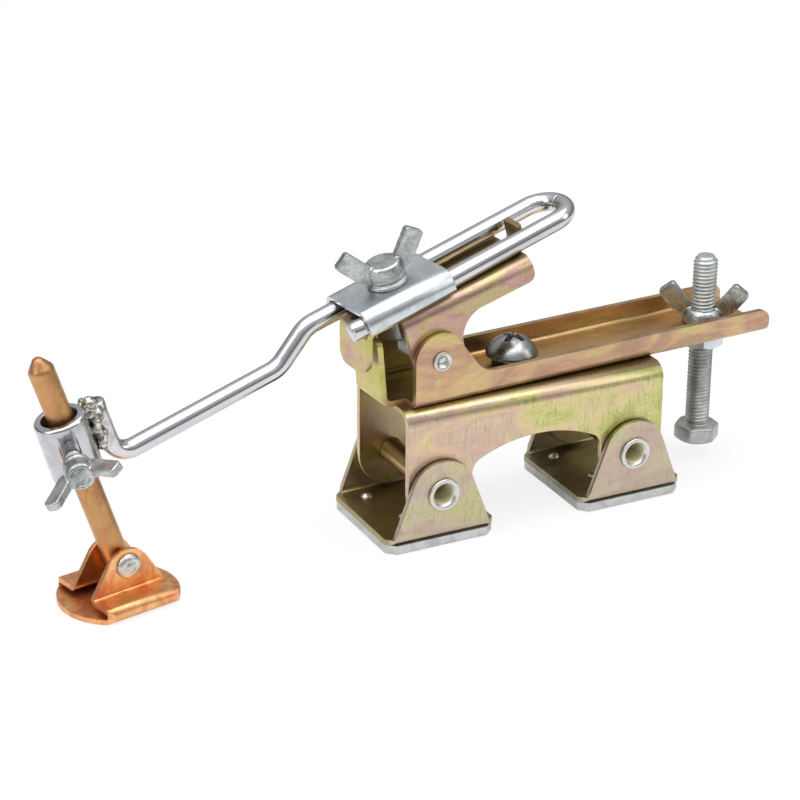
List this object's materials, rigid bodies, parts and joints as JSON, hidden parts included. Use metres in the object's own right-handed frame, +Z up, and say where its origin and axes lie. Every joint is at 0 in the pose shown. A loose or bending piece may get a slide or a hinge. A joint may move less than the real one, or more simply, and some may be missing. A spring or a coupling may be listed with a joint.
{
  "type": "magnetic welding clamp",
  "caption": "Magnetic welding clamp: pivoting magnet feet carry a bridge and a swivel channel, whose spring lever presses a tilting copper foot on a sliding rod arm.",
  "frame": {"origin": "on the supporting plane, under the middle of the bridge and its swivel screw", "axes": "+X along the bridge towards the jack bolt, +Y away from the viewer of the picture, +Z up"},
  "size_m": [0.2525, 0.0559, 0.0994],
  "materials": {
    "yellow_zinc": "yellow passivated zinc on pressed steel sheet",
    "bright_zinc": "bright zinc plate",
    "chrome_rod": "polished chrome plate",
    "copper": "bare copper, brushed",
    "magnet_steel": "dull grey plated plate",
    "rivet_steel": "plain steel",
    "screw_steel": "polished steel",
    "spring_steel": "drawn spring wire",
    "weld_steel": "rough weld bead under thin chrome",
    "black_fibre": "black fibre"
  },
  "bodies": {
    "base": {"bridge": "yellow_zinc", "swivel_screw": "screw_steel", "swivel_spacer": "black_fibre", "swivel_washer": "bright_zinc", "swivel_nut": "bright_zinc"},
    "foot_left": {"foot_bracket_left": "yellow_zinc", "foot_magnet_left": "magnet_steel", "foot_rivets_left": "rivet_steel", "pivot_tube_left": "rivet_steel"},
    "foot_right": {"foot_bracket_right": "yellow_zinc", "foot_magnet_right": "magnet_steel", "foot_rivets_right": "rivet_steel", "pivot_tube_right": "rivet_steel"},
    "swivel_channel": {"channel": "yellow_zinc", "hinge_pin": "rivet_steel", "torsion_spring": "spring_steel", "jack_nut": "bright_zinc"},
    "lever_body": {"lever": "yellow_zinc", "clamp_plate": "bright_zinc", "wing_bolt_nut": "bright_zinc"},
    "wing_bolt_body": {"wing_bolt": "bright_zinc"},
    "arm": {"rod_arm": "chrome_rod", "collar": "chrome_rod", "weld_bead": "weld_steel"},
    "collar_screw_body": {"collar_screw": "bright_zinc"},
    "electrode": {"copper_rod": "copper"},
    "copper_shoe": {"copper_foot": "copper", "foot_rivet": "rivet_steel"},
    "jack": {"jack_bolt": "bright_zinc"},
    "jack_wing": {"jack_wing_nut": "bright_zinc"}
  },
  "joints": [
    {"name": "foot_left_tilt", "type": "hinge", "parent": "base", "child": "foot_left", "pos_m": [-0.0339, 0, 0.0176], "axis": [0, 1, 0], "range_deg": [-30, 30]},
    {"name": "foot_right_tilt", "type": "hinge", "parent": "base", "child": "foot_right", "pos_m": [0.0339, 0, 0.0176], "axis": [0, 1, 0], "range_deg": [-30, 30]},
    {"name": "channel_swivel", "type": "hinge", "parent": "base", "child": "swivel_channel", "pos_m": [0, 0, 0.045], "axis": [0, 0, 1], "continuous": true},
    {"name": "lever_hinge", "type": "hinge", "parent": "swivel_channel", "child": "lever_body", "pos_m": [-0.03355, -0.00176, 0.0595], "axis": [-0.0523, 0.9986, 0], "range_deg": [-4, 30], "stiffness_Nm_per_rad": 0.15, "springref_deg": -17.19, "deforming": ["torsion_spring"]},
    {"name": "wing_bolt_turn", "type": "hinge", "parent": "lever_body", "child": "wing_bolt_body", "pos_m": [-0.03793, -0.00279, 0.05825], "axis": [-0.2719, -0.0143, 0.9622], "range_deg": [-180, 180]},
    {"name": "arm_slide", "type": "slide", "parent": "lever_body", "child": "arm", "axis": [0.9565, 0.106, 0.2719], "range_m": [-0.011, 0.006]},
    {"name": "collar_screw_turn", "type": "hinge", "parent": "arm", "child": "collar_screw_body", "pos_m": [-0.14755, -0.00673, 0.05112], "axis": [-0.1784, -0.9818, -0.0649], "range_deg": [-180, 180]},
    {"name": "electrode_slide", "type": "slide", "parent": "arm", "child": "electrode", "axis": [-0.2991, 0.0034, 0.9542], "range_m": [-0.012, 0.018]},
    {"name": "copper_foot_tilt", "type": "hinge", "parent": "electrode", "child": "copper_shoe", "pos_m": [-0.13469, -0.0068, 0.0124], "axis": [-0.2079, 0.9781, 0], "range_deg": [-30, 30]},
    {"name": "jack_height", "type": "slide", "parent": "swivel_channel", "child": "jack", "axis": [0, 0, 1], "range_m": [-0.0055, 0.027]},
    {"name": "jack_nut_turn", "type": "hinge", "parent": "swivel_channel", "child": "jack_wing", "pos_m": [0.0729, 0.00382, 0], "axis": [0, 0, 1], "range_deg": [-180, 180]}
  ]
}
